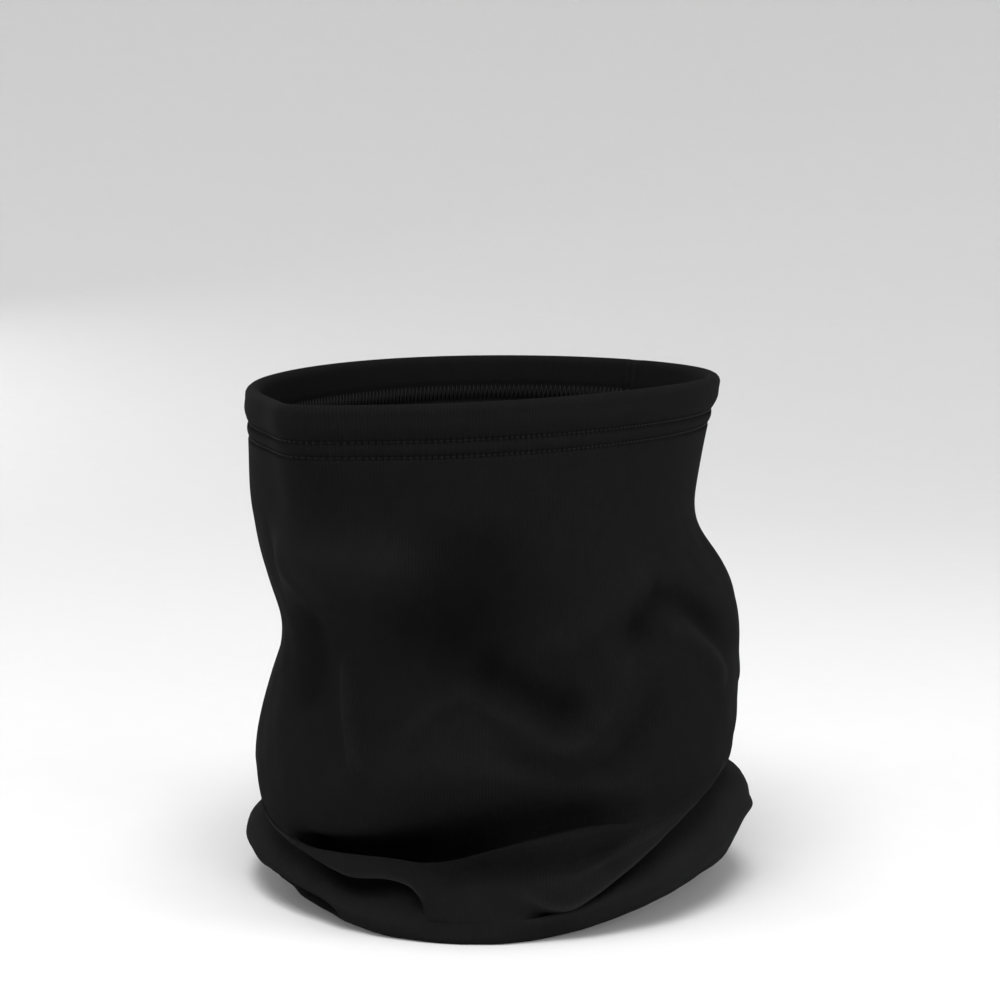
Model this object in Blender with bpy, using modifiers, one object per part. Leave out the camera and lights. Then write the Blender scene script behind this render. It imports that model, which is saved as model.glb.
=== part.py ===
"""Neck gaiter: a tube of fleece-backed knit with a coverstitched hem at each end.

The tube is modelled as it hangs when it is worn: the top band lies over the nose, the
cloth narrows under the chin and at the nape, and the slack below bulges out and hangs
over the lowest turn of cloth. The bottom end is turned under to the inside, so the tube
stands on that fold. Front (the face) is -Y, +Z is up, and lengths are in metres.
"""
import math

import bpy
import numpy as np

OBJECT_NAME = "neck_gaiter"
MM = 0.001

# Cloth, sewing and label
KNIT_THICKNESS = 1.0 * MM
FLEECE_THICKNESS = 1.3 * MM
LAYER_GAP = 0.3 * MM
THREAD_RADIUS = 0.35 * MM
HEM_ROLL_RADIUS = 2.9 * MM
HEM_DEPTH = 20.0 * MM
HEM_BULGE = 0.6 * MM
STITCH_PINCH = 0.8 * MM
UPPER_ROW_DEPTH = 12.7 * MM
NEEDLE_GAUGE = 5.6 * MM
LOOPER_THICKNESS = 0.6 * MM
SEAM_WIDTH = 6.0 * MM
SEAM_THICKNESS = 3.0 * MM
SEAM_CLEARANCE = 0.8 * MM
LABEL_WIDTH = 20.0 * MM
LABEL_HEIGHT = 36.0 * MM
LABEL_THICKNESS = 0.8 * MM
LABEL_CENTRE_HEIGHT = 76.0 * MM
LABEL_REST_TILT = math.radians(8)
SHARP_ANGLE = math.radians(50)
CLOTH_THICKNESS = KNIT_THICKNESS + LAYER_GAP + FLEECE_THICKNESS

# The neck's axis stands this far from the middle of the whole object's box
AXIS_X = -0.9 * MM
AXIS_Y = 5.8 * MM

# Mesh density: angles round the tube, crowded towards the nose
ANGLE_COUNT = 36
NOSE_CROWDING = 0.3

# Eight equally spaced stations round the tube, in degrees from the front towards +X
STATIONS = np.radians([-50, -5, 40, 85, 130, 175, 220, 265])

# Rows of the tube from the rim down: (name, heights, radii) in mm at the eight stations
BODY_ROWS = [
    ("rim", [193.5, 192.5, 194.5, 195.5, 194, 193.5, 194, 194.5], [90.5, 97, 88.5, 82, 88.5, 97, 90, 82]),
    ("hem_line", [176.5, 175.5, 177, 178, 177, 176, 176, 177], [89.5, 95, 87.5, 79.5, 83, 94, 87, 80]),
    ("cheek", [154] * 8, [91, 93.5, 88.5, 79, 79.5, 88, 83, 80]),
    ("mouth", [137] * 8, [89, 91.5, 89.5, 79.5, 77, 83, 80, 79]),
    ("jaw", [121] * 8, [86.5, 89.5, 91, 87, 89.5, 89, 86, 84]),
    ("chin", [102] * 8, [76.5, 85.5, 91.5, 92, 94.5, 93, 90, 83]),
    ("throat", [85] * 8, [82.5, 90, 92.5, 94, 95.5, 95, 92, 87]),
    ("bulge", [67] * 8, [88.5, 93.5, 93.5, 95, 96, 95.5, 93, 90]),
    ("belly", [50, 47, 48, 55, 60, 60, 56, 52], [91.5, 95, 93, 95.5, 94.5, 95, 93, 92]),
]
NOSE_PROUD = {"rim": 13, "hem_line": 12.5, "cheek": 9, "mouth": 4, "jaw": 1}
NOSE_HALF_WIDTHS = (math.radians(9), math.radians(20))
NOSE_SHARES = (0.6, 0.4)
LIP_HEIGHTS = [28, 21, 10, 31, 45, 44, 38, 32]
LIP_RADII = [88, 91, 90, 92, 92, 92, 90, 89]
SKIRT_HEIGHTS = [16, 11, 10, 19, 28, 26, 21, 17]
SKIRT_RADII = [96, 92, 90, 94, 102.5, 99, 96, 95]
FOLD_HEIGHTS = [5, 4, 0, 8, 9, 0, 0, 0]
FOLD_RADII = [86, 89, 90, 88.5, 95, 92, 90, 88]
# The fold under the body, row by row: (share of the open drop, step out from the lip,
# rise above the lip) in mm
UNDERCUT_ROWS = [(0.3, 2, 5), (0.5, 0, -2), (0.65, -6, -1), (0.75, -10.5, 1.5), (0.85, -9, -3)]
SKIRT_SHOULDER = 5
# The end turned under, row by row: (share of the way in to the neck, rise above the fold) in mm
NECK_RADIUS = 68
TURN_UNDER_ROWS = [(0, 2), (0.08, -1.6), (0.45, -1.6), (0.85, -1.6), (1, 5), (1, 14), (1, 23), (1, 32)]
# Where no body cloth hangs over the skirt: the front tongue and the seam at the back
TONGUES = [(math.radians(37), math.radians(12), math.radians(30)),
           (math.radians(180), math.radians(16), math.radians(36))]

# Rows of the mesh, counted in control rows from the rim
LAST_ROW = len(BODY_ROWS) + len(UNDERCUT_ROWS) + 3 + len(TURN_UNDER_ROWS) - 1
SPLIT_ROW = 5.0
SPLIT_GAP = 0.02
RING_GAP = 0.04
UPPER_STRIPS = 4
LOWER_ROWS = [6, 7, 8, 8.8, 9.5, 10, 10.5, 11, 11.5, 12, 12.6, 13.3, 14, 15, 16, 17, 17.7, 18.3, 19]
TURN_ROWS = [19.7, 20.4, 21.2]
SEAM_END_ROW = 15.5
FINE_STEPS_PER_ROW = 24


def clear_scene():
    for old in list(bpy.data.objects):
        bpy.data.objects.remove(old)


def make_material(name, colour, roughness):
    material = bpy.data.materials.new(name)
    material.use_nodes = True
    shader = material.node_tree.nodes["Principled BSDF"]
    shader.inputs["Base Color"].default_value = (*colour, 1.0)
    shader.inputs["Roughness"].default_value = roughness
    shader.inputs["Metallic"].default_value = 0.0
    return material


def tube_angles():
    """Angles round the tube, closest together at the nose."""
    even = np.linspace(-math.pi, math.pi, ANGLE_COUNT, endpoint=False)
    return even - NOSE_CROWDING * np.sin(even)


def around(values, angle):
    """A smooth closed curve through the values at the eight stations."""
    waves = np.fft.rfft(values) / len(values)
    turn = np.asarray(angle) - STATIONS[0]
    total = np.full(np.shape(turn), waves[0].real)
    for order in range(1, len(waves)):
        share = 1.0 if 2 * order == len(values) else 2.0
        total = total + share * waves[order].real * np.cos(order * turn)
        total = total - share * waves[order].imag * np.sin(order * turn)
    return total


def from_angle(angle, centre):
    """Unsigned angle from a centre direction."""
    return np.abs((np.asarray(angle) - centre + math.pi) % (2 * math.pi) - math.pi)


def smooth_step(start, end, value):
    share = np.clip((value - start) / (end - start), 0, 1)
    return share * share * (3 - 2 * share)


def overhang(angle):
    """0 where the cloth drops straight to the fold, 1 where the body hangs over it."""
    share = np.ones(np.shape(angle))
    for centre, flat, full in TONGUES:
        share = share * smooth_step(flat, full, from_angle(angle, centre))
    return share


def nose_bump(angle):
    """The ridge that the nose pushes out, 1 at the front."""
    total = 0.0
    for width, share in zip(NOSE_HALF_WIDTHS, NOSE_SHARES):
        total = total + share * np.exp(-(from_angle(angle, 0.0) / width) ** 2)
    return total


def control_rows(angle):
    """Control points (radius, height) in mm of the profile at each angle, rim first."""
    rows = []
    for name, heights, radii in BODY_ROWS:
        proud = NOSE_PROUD.get(name, 0) * nose_bump(angle)
        rows.append((around(radii, angle) + proud, around(heights, angle)))
    belly_height = rows[-1][1]
    over = overhang(angle)
    lip_height = around(LIP_HEIGHTS, angle)
    lip_radius = around(LIP_RADII, angle)
    skirt_height = around(SKIRT_HEIGHTS, angle)
    skirt_radius = around(SKIRT_RADII, angle)
    fold_height = np.maximum(around(FOLD_HEIGHTS, angle), 0)
    fold_radius = around(FOLD_RADII, angle)
    for drop, step_out, rise in UNDERCUT_ROWS:
        open_height = belly_height + (skirt_height - belly_height) * drop
        height = open_height + (lip_height + rise - open_height) * over
        rows.append((lip_radius + step_out * over, height))
    shoulder = skirt_height + 2 + 0.4 * (lip_height - skirt_height) * over
    rows.append((skirt_radius - SKIRT_SHOULDER * over, shoulder))
    rows.append((skirt_radius, skirt_height))
    rows.append((0.6 * fold_radius + 0.4 * skirt_radius, 0.55 * fold_height + 0.45 * skirt_height))
    for share, rise in TURN_UNDER_ROWS:
        rows.append((fold_radius + (NECK_RADIUS - fold_radius) * share, fold_height + rise))
    return np.array(rows)


def spline(controls, rows):
    """Uniform cubic B-spline down each column of controls (row, 2, angle) at rows (row, angle)."""
    first = 2 * controls[:1] - controls[1:2]
    last = 2 * controls[-1:] - controls[-2:-1]
    padded = np.concatenate([first, controls, last])
    index = np.clip(np.floor(rows).astype(int), 0, len(controls) - 2)
    part = (rows - index)[..., None]
    weights = ((1 - part) ** 3, 3 * part ** 3 - 6 * part ** 2 + 4,
               -3 * part ** 3 + 3 * part ** 2 + 3 * part + 1, part ** 3)
    column = np.arange(controls.shape[2])
    return sum(weight * padded[index + step, :, column] for step, weight in enumerate(weights)) / 6


def knit_face(angles, rows):
    """Points on the knit face round the neck's axis: (row, angle, xyz)."""
    profile = spline(control_rows(angles), rows) * MM
    radius, height = profile[..., 0], profile[..., 1]
    return np.stack([radius * np.sin(angles), -radius * np.cos(angles), height], axis=-1)


def fleece_side(angles, rows):
    """Unit normals of the knit face towards the fleece side: (row, angle, xyz)."""
    nudge = 1e-3
    lower = knit_face(angles, np.minimum(rows + nudge, LAST_ROW))
    upper = knit_face(angles, np.maximum(rows - nudge, 0))
    after = knit_face(angles + nudge, rows)
    before = knit_face(angles - nudge, rows)
    normals = np.cross(after - before, lower - upper)
    return normals / np.linalg.norm(normals, axis=-1, keepdims=True)


def cloth_points(angles, rows, depth):
    """Points at a depth under the knit face; cloth that would sink into the floor lies flat on it."""
    rows = np.broadcast_to(np.asarray(rows, float).reshape(len(rows), -1), (len(rows), len(angles)))
    points = knit_face(angles, rows)
    points[..., 2] = np.maximum(points[..., 2], 0)
    points = points + fleece_side(angles, rows) * depth
    return points + np.array([AXIS_X, AXIS_Y, 0])


def rows_at_length(angles, lengths, from_end):
    """The rows that lie at given lengths of cloth from the rim or from the bottom end."""
    fine = np.linspace(0, LAST_ROW, LAST_ROW * FINE_STEPS_PER_ROW + 1)
    points = knit_face(angles, np.repeat(fine[:, None], len(angles), axis=1))
    steps = np.linalg.norm(np.diff(points, axis=0), axis=-1)
    rows = np.empty((len(lengths), len(angles)))
    for column in range(len(angles)):
        run = np.concatenate([[0], np.cumsum(steps[:, column])])
        wanted = run[-1] - np.asarray(lengths) if from_end else np.asarray(lengths)
        rows[:, column] = np.interp(wanted, run, fine)
    return rows


def hem_points(angles, section, from_end):
    """A hem section of (length from the edge, depth) swept round the tube: (point, angle, xyz)."""
    lengths, depths = np.array(section).T
    rows = rows_at_length(angles, lengths, from_end)
    return cloth_points(angles, rows, depths[:, None, None])


def signed_volume(points, triangles):
    corners = points[np.array(triangles)]
    return float(np.einsum("ij,ij->i", corners[:, 0], np.cross(corners[:, 1], corners[:, 2])).sum() / 6)


def link(name, data, material):
    part = bpy.data.objects.new(name, data)
    data.materials.append(material)
    bpy.data.collections[OBJECT_NAME].objects.link(part)
    return part


def add_mesh(name, points, triangles, material):
    """A named object from triangles, turned so that its faces point out."""
    if signed_volume(points, triangles) < 0:
        triangles = [triangle[::-1] for triangle in triangles]
    mesh = bpy.data.meshes.new(name)
    mesh.from_pydata(points.tolist(), [], triangles)
    mesh.shade_smooth()
    mesh.set_sharp_from_angle(angle=SHARP_ANGLE)
    return link(name, mesh, material)


def add_ring(name, sections, material):
    """A closed ring from one closed section's points at every angle: (point, angle, xyz).

    The second half of a section runs back along the first, and both halves split their
    quads along the same diagonal, so that layers of cloth stay parallel.
    """
    count, turns = sections.shape[:2]
    triangles = []
    for row in range(count):
        below = (row + 1) % count
        for column in range(turns):
            right = (column + 1) % turns
            here, down = row * turns + column, below * turns + column
            across, corner = row * turns + right, below * turns + right
            if row < count // 2:
                triangles += [(here, down, corner), (here, corner, across)]
            else:
                triangles += [(here, down, across), (down, corner, across)]
    return add_mesh(name, sections.reshape(-1, 3), triangles, material)


def add_bar(name, sections, material):
    """A closed bar from equal closed sections, (section, side, xyz), with a cap at each end."""
    count, sides = sections.shape[:2]
    triangles = []
    for row in range(count - 1):
        for side in range(sides):
            after = (side + 1) % sides
            here, down = row * sides + side, (row + 1) * sides + side
            across, corner = row * sides + after, (row + 1) * sides + after
            triangles += [(here, corner, down), (here, across, corner)]
    last = (count - 1) * sides
    for side in range(1, sides - 1):
        triangles.append((0, side + 1, side))
        triangles.append((last, last + side, last + side + 1))
    return add_mesh(name, sections.reshape(-1, 3), triangles, material)


def add_thread(name, points, closed, material):
    """A thread as a round curve through the points."""
    curve = bpy.data.curves.new(name, "CURVE")
    curve.dimensions = "3D"
    curve.bevel_depth = THREAD_RADIUS
    curve.bevel_resolution = 1
    curve.use_fill_caps = not closed
    line = curve.splines.new("POLY")
    line.points.add(len(points) - 1)
    for place, point in zip(line.points, points):
        place.co = (*point, 1.0)
    line.use_cyclic_u = closed
    return link(name, curve, material)


def make_layer(name, rows, outer_depth, thickness, material):
    """One layer of the cloth over some rows of the tube."""
    angles = tube_angles()
    outside = cloth_points(angles, rows, outer_depth)
    inside = cloth_points(angles, rows, outer_depth + thickness)
    return add_ring(name, np.concatenate([outside, inside[::-1]]), material)


def make_cloth(prefix, rows, knit, fleece):
    """The knit face and the brushed fleece back of one stretch of the tube."""
    make_layer(prefix + "_knit", rows, 0.0, KNIT_THICKNESS, knit)
    make_layer(prefix + "_fleece", rows, KNIT_THICKNESS + LAYER_GAP, FLEECE_THICKNESS, fleece)


def upper_rows():
    """Rows from just under the top hem to the split, one column for each angle."""
    start = rows_at_length(tube_angles(), [HEM_DEPTH + LAYER_GAP], False)
    share = np.linspace(0, 1, UPPER_STRIPS + 1)[:, None]
    return start + (SPLIT_ROW - SPLIT_GAP - start) * share


def lower_rows():
    """Rows from the split to the middle of the flat ring that the tube stands on."""
    fixed = np.array([SPLIT_ROW + SPLIT_GAP] + LOWER_ROWS)[:, None]
    return np.repeat(fixed, ANGLE_COUNT, axis=1)


def turned_under_rows():
    """Rows from the middle of the flat ring, in and up to just short of the bottom hem."""
    end = rows_at_length(tube_angles(), [HEM_DEPTH + LAYER_GAP], True)
    fixed = np.array([LOWER_ROWS[-1] + RING_GAP] + TURN_ROWS)[:, None]
    return np.concatenate([np.repeat(fixed, ANGLE_COUNT, axis=1), end])


def hem_outline(depth):
    """Half of a hem section at a depth in the cloth: up the outside, over, down the inside."""
    radius = HEM_ROLL_RADIUS - depth
    lower_row = UPPER_ROW_DEPTH + NEEDLE_GAUGE
    between = UPPER_ROW_DEPTH + NEEDLE_GAUGE / 2
    outline = [(HEM_DEPTH, depth), (lower_row, depth + STITCH_PINCH), (between, depth),
               (UPPER_ROW_DEPTH, depth + STITCH_PINCH), (UPPER_ROW_DEPTH / 2, depth - HEM_BULGE)]
    for turn in np.radians([0, 60, 120, 180]):
        length = HEM_ROLL_RADIUS - radius * math.sin(turn)
        outline.append((length, HEM_ROLL_RADIUS - radius * math.cos(turn)))
    outline.append((HEM_DEPTH, 2 * HEM_ROLL_RADIUS - depth))
    return outline


def make_hem(prefix, from_end, knit, fleece):
    """A turned hem: the knit that shows and the fleece folded inside it."""
    angles = tube_angles()
    face = hem_outline(0.0) + hem_outline(KNIT_THICKNESS)[::-1]
    add_ring(prefix + "_hem_knit", hem_points(angles, face, from_end), knit)
    core = hem_outline(KNIT_THICKNESS + LAYER_GAP)
    add_ring(prefix + "_hem_fleece", hem_points(angles, core, from_end), fleece)


def make_coverstitch(prefix, from_end, thread):
    """Two rows of needle thread in their grooves and the looper thread behind them."""
    angles = tube_angles()
    row_depths = (UPPER_ROW_DEPTH, UPPER_ROW_DEPTH + NEEDLE_GAUGE)
    groove = STITCH_PINCH - LAYER_GAP - THREAD_RADIUS
    for number, length in enumerate(row_depths, start=1):
        route = hem_points(angles, [(length, groove)], from_end)[0]
        add_thread(f"{prefix}_needle_thread_{number}", route, True, thread)
    start, end = row_depths[0] - 2 * THREAD_RADIUS, row_depths[1] + 2 * THREAD_RADIUS
    near = 2 * HEM_ROLL_RADIUS + LAYER_GAP
    far = near + LOOPER_THICKNESS
    looper = [(start, near), (end, near), (end, far), (start, far)]
    add_ring(prefix + "_looper_thread", hem_points(angles, looper, from_end), thread)


def seam_points(rows, side, depth):
    """Points along the back seam, to one side of its middle: (row, xyz)."""
    points = cloth_points(np.array([math.pi]), rows, depth)[:, 0]
    return points + np.array([side, 0, 0])


def make_back_seam(prefix, rows, fleece, thread):
    """The seam's two allowances, pressed together inside the back, and their overlock thread."""
    near = CLOTH_THICKNESS + SEAM_CLEARANCE
    far = near + SEAM_THICKNESS
    half = SEAM_WIDTH / 2
    corners = [(-half, near), (half, near), (half, far), (-half, far)]
    sides = [seam_points(rows, side, depth) for side, depth in corners]
    add_bar(prefix + "_back_seam", np.stack(sides, axis=1), fleece)
    route = seam_points(rows, -half - LAYER_GAP - THREAD_RADIUS, (near + far) / 2)
    add_thread(prefix + "_overlock_thread", route, False, thread)


def make_seams(fleece, thread):
    """The back seam of the upper and the lower tube, along the column of rows at the back."""
    make_back_seam("upper", upper_rows()[:, 0], fleece, thread)
    lower = [row for row in lower_rows()[:, 0] if row <= SEAM_END_ROW]
    make_back_seam("lower", np.array(lower), fleece, thread)


def label_hinge():
    """The label's sewn edge, on the inner corner of the seam, clear of it all the way up."""
    rows = np.linspace(SPLIT_ROW, SEAM_END_ROW, LAST_ROW * FINE_STEPS_PER_ROW)
    seam_face = CLOTH_THICKNESS + SEAM_CLEARANCE + SEAM_THICKNESS
    route = seam_points(rows, SEAM_WIDTH / 2, seam_face + LAYER_GAP + LABEL_THICKNESS / 2)
    beside = np.abs(route[:, 2] - LABEL_CENTRE_HEIGHT) <= LABEL_HEIGHT / 2
    return np.array([route[0, 0], route[beside, 1].min(), LABEL_CENTRE_HEIGHT])


def make_label(ribbon):
    """A blank woven ribbon, sewn into the back seam by one upright edge."""
    bpy.ops.mesh.primitive_cube_add(size=1)
    label = bpy.context.object
    label.name = "care_label"
    for vertex in label.data.vertices:
        vertex.co.x = (vertex.co.x + 0.5) * LABEL_WIDTH
        vertex.co.y *= LABEL_THICKNESS
        vertex.co.z *= LABEL_HEIGHT
    label.location = label_hinge()
    label.rotation_euler.z = -LABEL_REST_TILT
    rounding = label.modifiers.new("rounded edges", "BEVEL")
    rounding.width = LABEL_THICKNESS / 4
    rounding.segments = 1
    label.data.materials.append(ribbon)
    label.users_collection[0].objects.unlink(label)
    bpy.data.collections[OBJECT_NAME].objects.link(label)


def main():
    clear_scene()
    bpy.context.scene.collection.children.link(bpy.data.collections.new(OBJECT_NAME))
    knit = make_material("black_knit", (0.012, 0.012, 0.012), 0.85)
    fleece = make_material("black_fleece", (0.016, 0.016, 0.016), 1.0)
    thread = make_material("black_thread", (0.010, 0.010, 0.010), 0.6)
    ribbon = make_material("label_ribbon", (0.030, 0.030, 0.030), 0.5)
    make_cloth("upper_tube", upper_rows(), knit, fleece)
    make_cloth("lower_tube", lower_rows(), knit, fleece)
    make_cloth("turned_under", turned_under_rows(), knit, fleece)
    for prefix, from_end in (("top", False), ("bottom", True)):
        make_hem(prefix, from_end, knit, fleece)
        make_coverstitch(prefix, from_end, thread)
    make_seams(fleece, thread)
    make_label(ribbon)


main()
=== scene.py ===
"""Visual model of the neck gaiter: fleece-backed knit, coverstitched hems, folds as worn.

The cloth is one profile swept round the neck's axis: the CAD model's, with its crease and lip
worked out further and the folds added. Angles run from the front (-Y) towards +X, rows run down
the cloth from the rim.
"""
import math

import bpy
import numpy as np
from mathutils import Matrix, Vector

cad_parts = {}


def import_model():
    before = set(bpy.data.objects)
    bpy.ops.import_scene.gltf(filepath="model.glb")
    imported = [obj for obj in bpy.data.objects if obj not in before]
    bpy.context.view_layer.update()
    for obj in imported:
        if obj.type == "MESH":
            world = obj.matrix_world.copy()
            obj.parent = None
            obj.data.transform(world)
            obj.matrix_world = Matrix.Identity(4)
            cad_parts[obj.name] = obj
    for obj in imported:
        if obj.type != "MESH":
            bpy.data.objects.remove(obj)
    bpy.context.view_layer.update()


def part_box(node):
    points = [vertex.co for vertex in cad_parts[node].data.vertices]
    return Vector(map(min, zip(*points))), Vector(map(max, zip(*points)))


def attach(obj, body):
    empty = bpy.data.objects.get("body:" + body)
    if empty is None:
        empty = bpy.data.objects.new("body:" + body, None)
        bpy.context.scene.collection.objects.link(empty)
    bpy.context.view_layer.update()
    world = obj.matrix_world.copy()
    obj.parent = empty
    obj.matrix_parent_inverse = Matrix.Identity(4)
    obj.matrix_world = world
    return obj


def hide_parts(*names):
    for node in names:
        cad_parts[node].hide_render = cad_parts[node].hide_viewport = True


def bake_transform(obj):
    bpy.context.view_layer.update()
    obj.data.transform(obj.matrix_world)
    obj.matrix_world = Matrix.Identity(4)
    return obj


MM = 0.001

# The cloth and its hems, as in the CAD model
KNIT_THICKNESS = 1.0 * MM
FLEECE_THICKNESS = 1.3 * MM
LAYER_GAP = 0.3 * MM
CLOTH_THICKNESS = KNIT_THICKNESS + LAYER_GAP + FLEECE_THICKNESS
HEM_ROLL_RADIUS = 2.9 * MM
HEM_DEPTH = 20.0 * MM
NEEDLE_ROWS = (12.7 * MM, 18.3 * MM)
AXIS = np.array([-0.9, 5.8, 0.0]) * MM
# Radius in mm that the turned-under end is gathered to
NECK_RADIUS = 68
CLOTH_ROUND = 580.8 * MM
# The back seam and the label, a little thinner and closer to the cloth than in the CAD model, so
# that the label turns over the seam freely
SEAM_WIDTH = 5.4 * MM
SEAM_THICKNESS = 2.4 * MM
SEAM_CLEARANCE = 0.3 * MM
SEAM_DEPTH = CLOTH_THICKNESS + SEAM_CLEARANCE + SEAM_THICKNESS / 2
SEAM_HEIGHTS = (0.062, 0.172)
LABEL_SIZE = (20.0 * MM, 36.0 * MM)
LABEL_THICKNESS = 0.7 * MM

# The stitches and the hems' swell, finer than in the CAD model
STITCH_PINCH = 1.0 * MM
STITCH_PINCH_WIDTH = 0.85 * MM
STITCH_RIPPLE = 0.22
HEM_BULGE = 0.75 * MM
RIDGE_BULGE = 0.25 * MM
RIDGE_HALF_WIDTH = 1.3 * MM
# Share of the needle rows' grooves that shows on the inside of a hem
GROOVE_INSIDE = 0.55
NEEDLE_THREAD_RADIUS = 0.27 * MM
# How far a stitch stands proud of its groove, and how far it dips at a hole, in thread radii
STITCH_PROUD = 0.9
STITCH_DIP = 2.4
LOOPER_THREAD_RADIUS = 0.3 * MM
# The looper's zigzag, point by point: share of the way to the lower needle row, and lift in mm
LOOPER_SWING = np.array([0.0, 0.55, 1.0, 0.45])
LOOPER_LIFT = np.array([-0.25, 0.35, -0.25, 0.35])
# The seam, its overlock thread and the label
OVERLOCK_THREAD_RADIUS = 0.3 * MM
OVERLOCK_BITE = 1.2 * MM
OVERLOCK_TURNS = 54
OVERLOCK_STEPS = 10
SEAM_WAVE = 0.25 * MM
SEAM_SAMPLES = 900
SEAM_POINTS = 160
SEAM_SIDES = 16
LABEL_CURL = 0.4 * MM
# Number of faces along and up the label
LABEL_GRID = (24, 36)
# Groove that the seam draws in down the back: (depth, half width) in mm
BACK_GROOVE = (0.9, 1.9)
# Share of its thickness that the cloth keeps in the tight folds
FOLD_SQUEEZE = 0.42

# Mesh density
TUBE_COLUMNS = 360
TOP_STITCHES = 276
BOTTOM_STITCHES = 184
POINTS_PER_STITCH = 4
ROW_SPACING = 2.0 * MM
FLEECE_ROW_SPACING = 2.6 * MM
FINE_STEPS_PER_ROW = 16
# Samples of the cloth that its mesh rows are spaced by
SAMPLE_COLUMNS = 36
SAMPLE_ROWS = 600
# Number of profile rows at each end within which the hems lie
HEM_REACH = 5
# Length of cloth from the join to the first evenly spaced row
LEAD_LENGTH = 26 * MM
# Where the points of a hem's face and back lie, as lengths of cloth from its edge
HEM_FACE_LENGTHS = np.array([22.5, 21.3, 20.4, 19.7, 19.2, 18.75, 18.3, 17.85, 17.4, 16.8, 16.1,
                             15.5, 14.9, 14.2, 13.6, 13.15, 12.7, 12.25, 11.8, 11.2, 10.3, 9.0,
                             7.4, 5.8, 4.3]) * MM
HEM_BACK_LENGTHS = np.array([4.3, 6, 8, 10, 11.6, 12.7, 13.8, 15.5, 17.2, 18.3, 19.3]) * MM
# Length from a hem's edge at which the tube's cloth takes over
JOIN = HEM_FACE_LENGTHS[0]

# Eight equally spaced stations round the tube, given in degrees from the front towards +X
STATIONS = np.radians([-50, -5, 40, 85, 130, 175, 220, 265])

# Rows of the tube from the rim down: (name, heights, radii) in mm at the eight stations
BODY_ROWS = [
    ("rim", [193.5, 192.5, 194.5, 195.5, 194, 193.5, 194, 194.5],
     [90.5, 97, 88.5, 82, 88.5, 97, 90, 82]),
    ("hem_line", [176.5, 175.5, 177, 178, 177, 176, 176, 177],
     [89.5, 95, 87.5, 79.5, 83, 94, 87, 80]),
    ("cheek", [154] * 8, [91, 93.5, 89.5, 79, 79.5, 88, 83, 80]),
    ("mouth", [137] * 8, [89, 91.5, 91, 79.5, 77, 83, 80, 79]),
    ("jaw", [121] * 8, [86.5, 89.5, 88.5, 87, 93, 89, 86, 84]),
    ("chin", [102] * 8, [76.5, 85.5, 86, 92, 97, 93, 90, 83]),
    ("throat", [85] * 8, [82.5, 90, 89.5, 94, 95.5, 95, 92, 87]),
    ("bulge", [67] * 8, [88.5, 93.5, 93.5, 95, 96, 95.5, 93, 90]),
    ("belly", [50, 47, 48, 55, 60, 60, 56, 52], [91.5, 95, 95, 95.5, 94.5, 95, 93, 92]),
]
# How far in mm the nose pushes out each row, as two bells of these half widths and shares
NOSE_PROUD = {"rim": 13, "hem_line": 12.5, "cheek": 9, "mouth": 4, "jaw": 1}
NOSE_HALF_WIDTHS = (math.radians(9), math.radians(20))
NOSE_SHARES = (0.6, 0.4)
# The lip that the body's cloth folds over, the skirt below it and the bottom fold, in mm
LIP_HEIGHTS = [33, 25, 3, 34, 48, 46, 38, 32]
# Where the lip is lifted: (angle, half width, rise in mm)
LIP_LIFT = (math.radians(20), math.radians(13), 13.5)
LIP_RADII = [88, 91, 90, 92, 92, 92, 90, 89]
SKIRT_HEIGHTS = [18, 11, 7, 19, 32, 28, 21, 17]
SKIRT_RADII = [97.5, 93.5, 90, 97, 102.5, 99, 96, 95]
FOLD_HEIGHTS = [5, 4, 0, 8, 9, 0, 0, 0]
FOLD_RADII = [86, 89, 90, 88.5, 95, 92, 90, 88]
# The crease under the belly, row by row: (step in from the belly where it is deep, share of the
# way up its underside, rise, share of its sink, share of the way down where there is no crease)
CREASE_ROWS = [(2, 1, 1, 0, 0.14), (11, 0.62, 0, 0.1, 0.28), (16, 0.22, 0, 0.5, 0.42),
               (15, 0, -1, 1, 0.57), (7.5, 0, -1.5, 0.6, 0.71), (1, 0, 1.5, 0, 0.86)]
# The crease round the front, in keys of (degrees, value): the share of its depth, how far its
# floor sinks below its edge, and the heights of its lower edge and of its top
CREASE_DEPTH = [(-24, 0.9), (0, 1), (24, 1), (36, 0.72), (50, 0.6), (80, 0.5)]
CREASE_SINK = [(-24, 0), (-10, 1.5), (3, 5), (14, 7), (25, 6), (36, 2), (48, 0)]
CREASE_EDGE = [(-50, 40), (-32, 37), (-18, 31.5), (-7, 28.5), (8, 31.5), (20, 32), (31, 31.5),
               (42, 37.5), (55, 42), (64, 44), (78, 46)]
CREASE_TOP = [(-50, 46), (-32, 41), (-18, 36), (-8, 32.5), (3, 35.5), (14, 39.5), (26, 50),
              (42, 58.5), (56, 57.5), (71, 52), (80, 49)]
# Where the crease is deep, and where the rows gather to its height: (start, full, fading, end)
# in degrees
CREASE_SPAN = (-13, -5, 56, 84)
GATHER_SPAN = (-48, -15, 60, 96)
BELLY_OVER_CREASE = 7
# The fold under the body, row by row: (share of the open drop, step out from the lip, rise)
UNDERCUT_ROWS = [(0.35, 2, 4.5), (0.6, 0, -1.5), (0.78, -5.5, -2), (0.86, -9, -1.5),
                 (0.93, -8, -4.5)]
# How far in mm its rows stay below the crease's edge
UNDERCUT_CLEARANCE = 3.5
# The skirt's rows: its shoulder, its widest line and its turn to the bottom fold
SKIRT_ROWS = 3
# The shoulder: how far in from the widest line in mm, and its share of the way up to the lip
SKIRT_SHOULDER = 5
SHOULDER_SHARE = 0.4
# Where the skirt's shoulder drops away from the lip and leaves a dark pocket, in degrees
POCKET_CENTRE = 5
POCKET_WIDTH = 17
POCKET_DROP = 0.24
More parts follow.
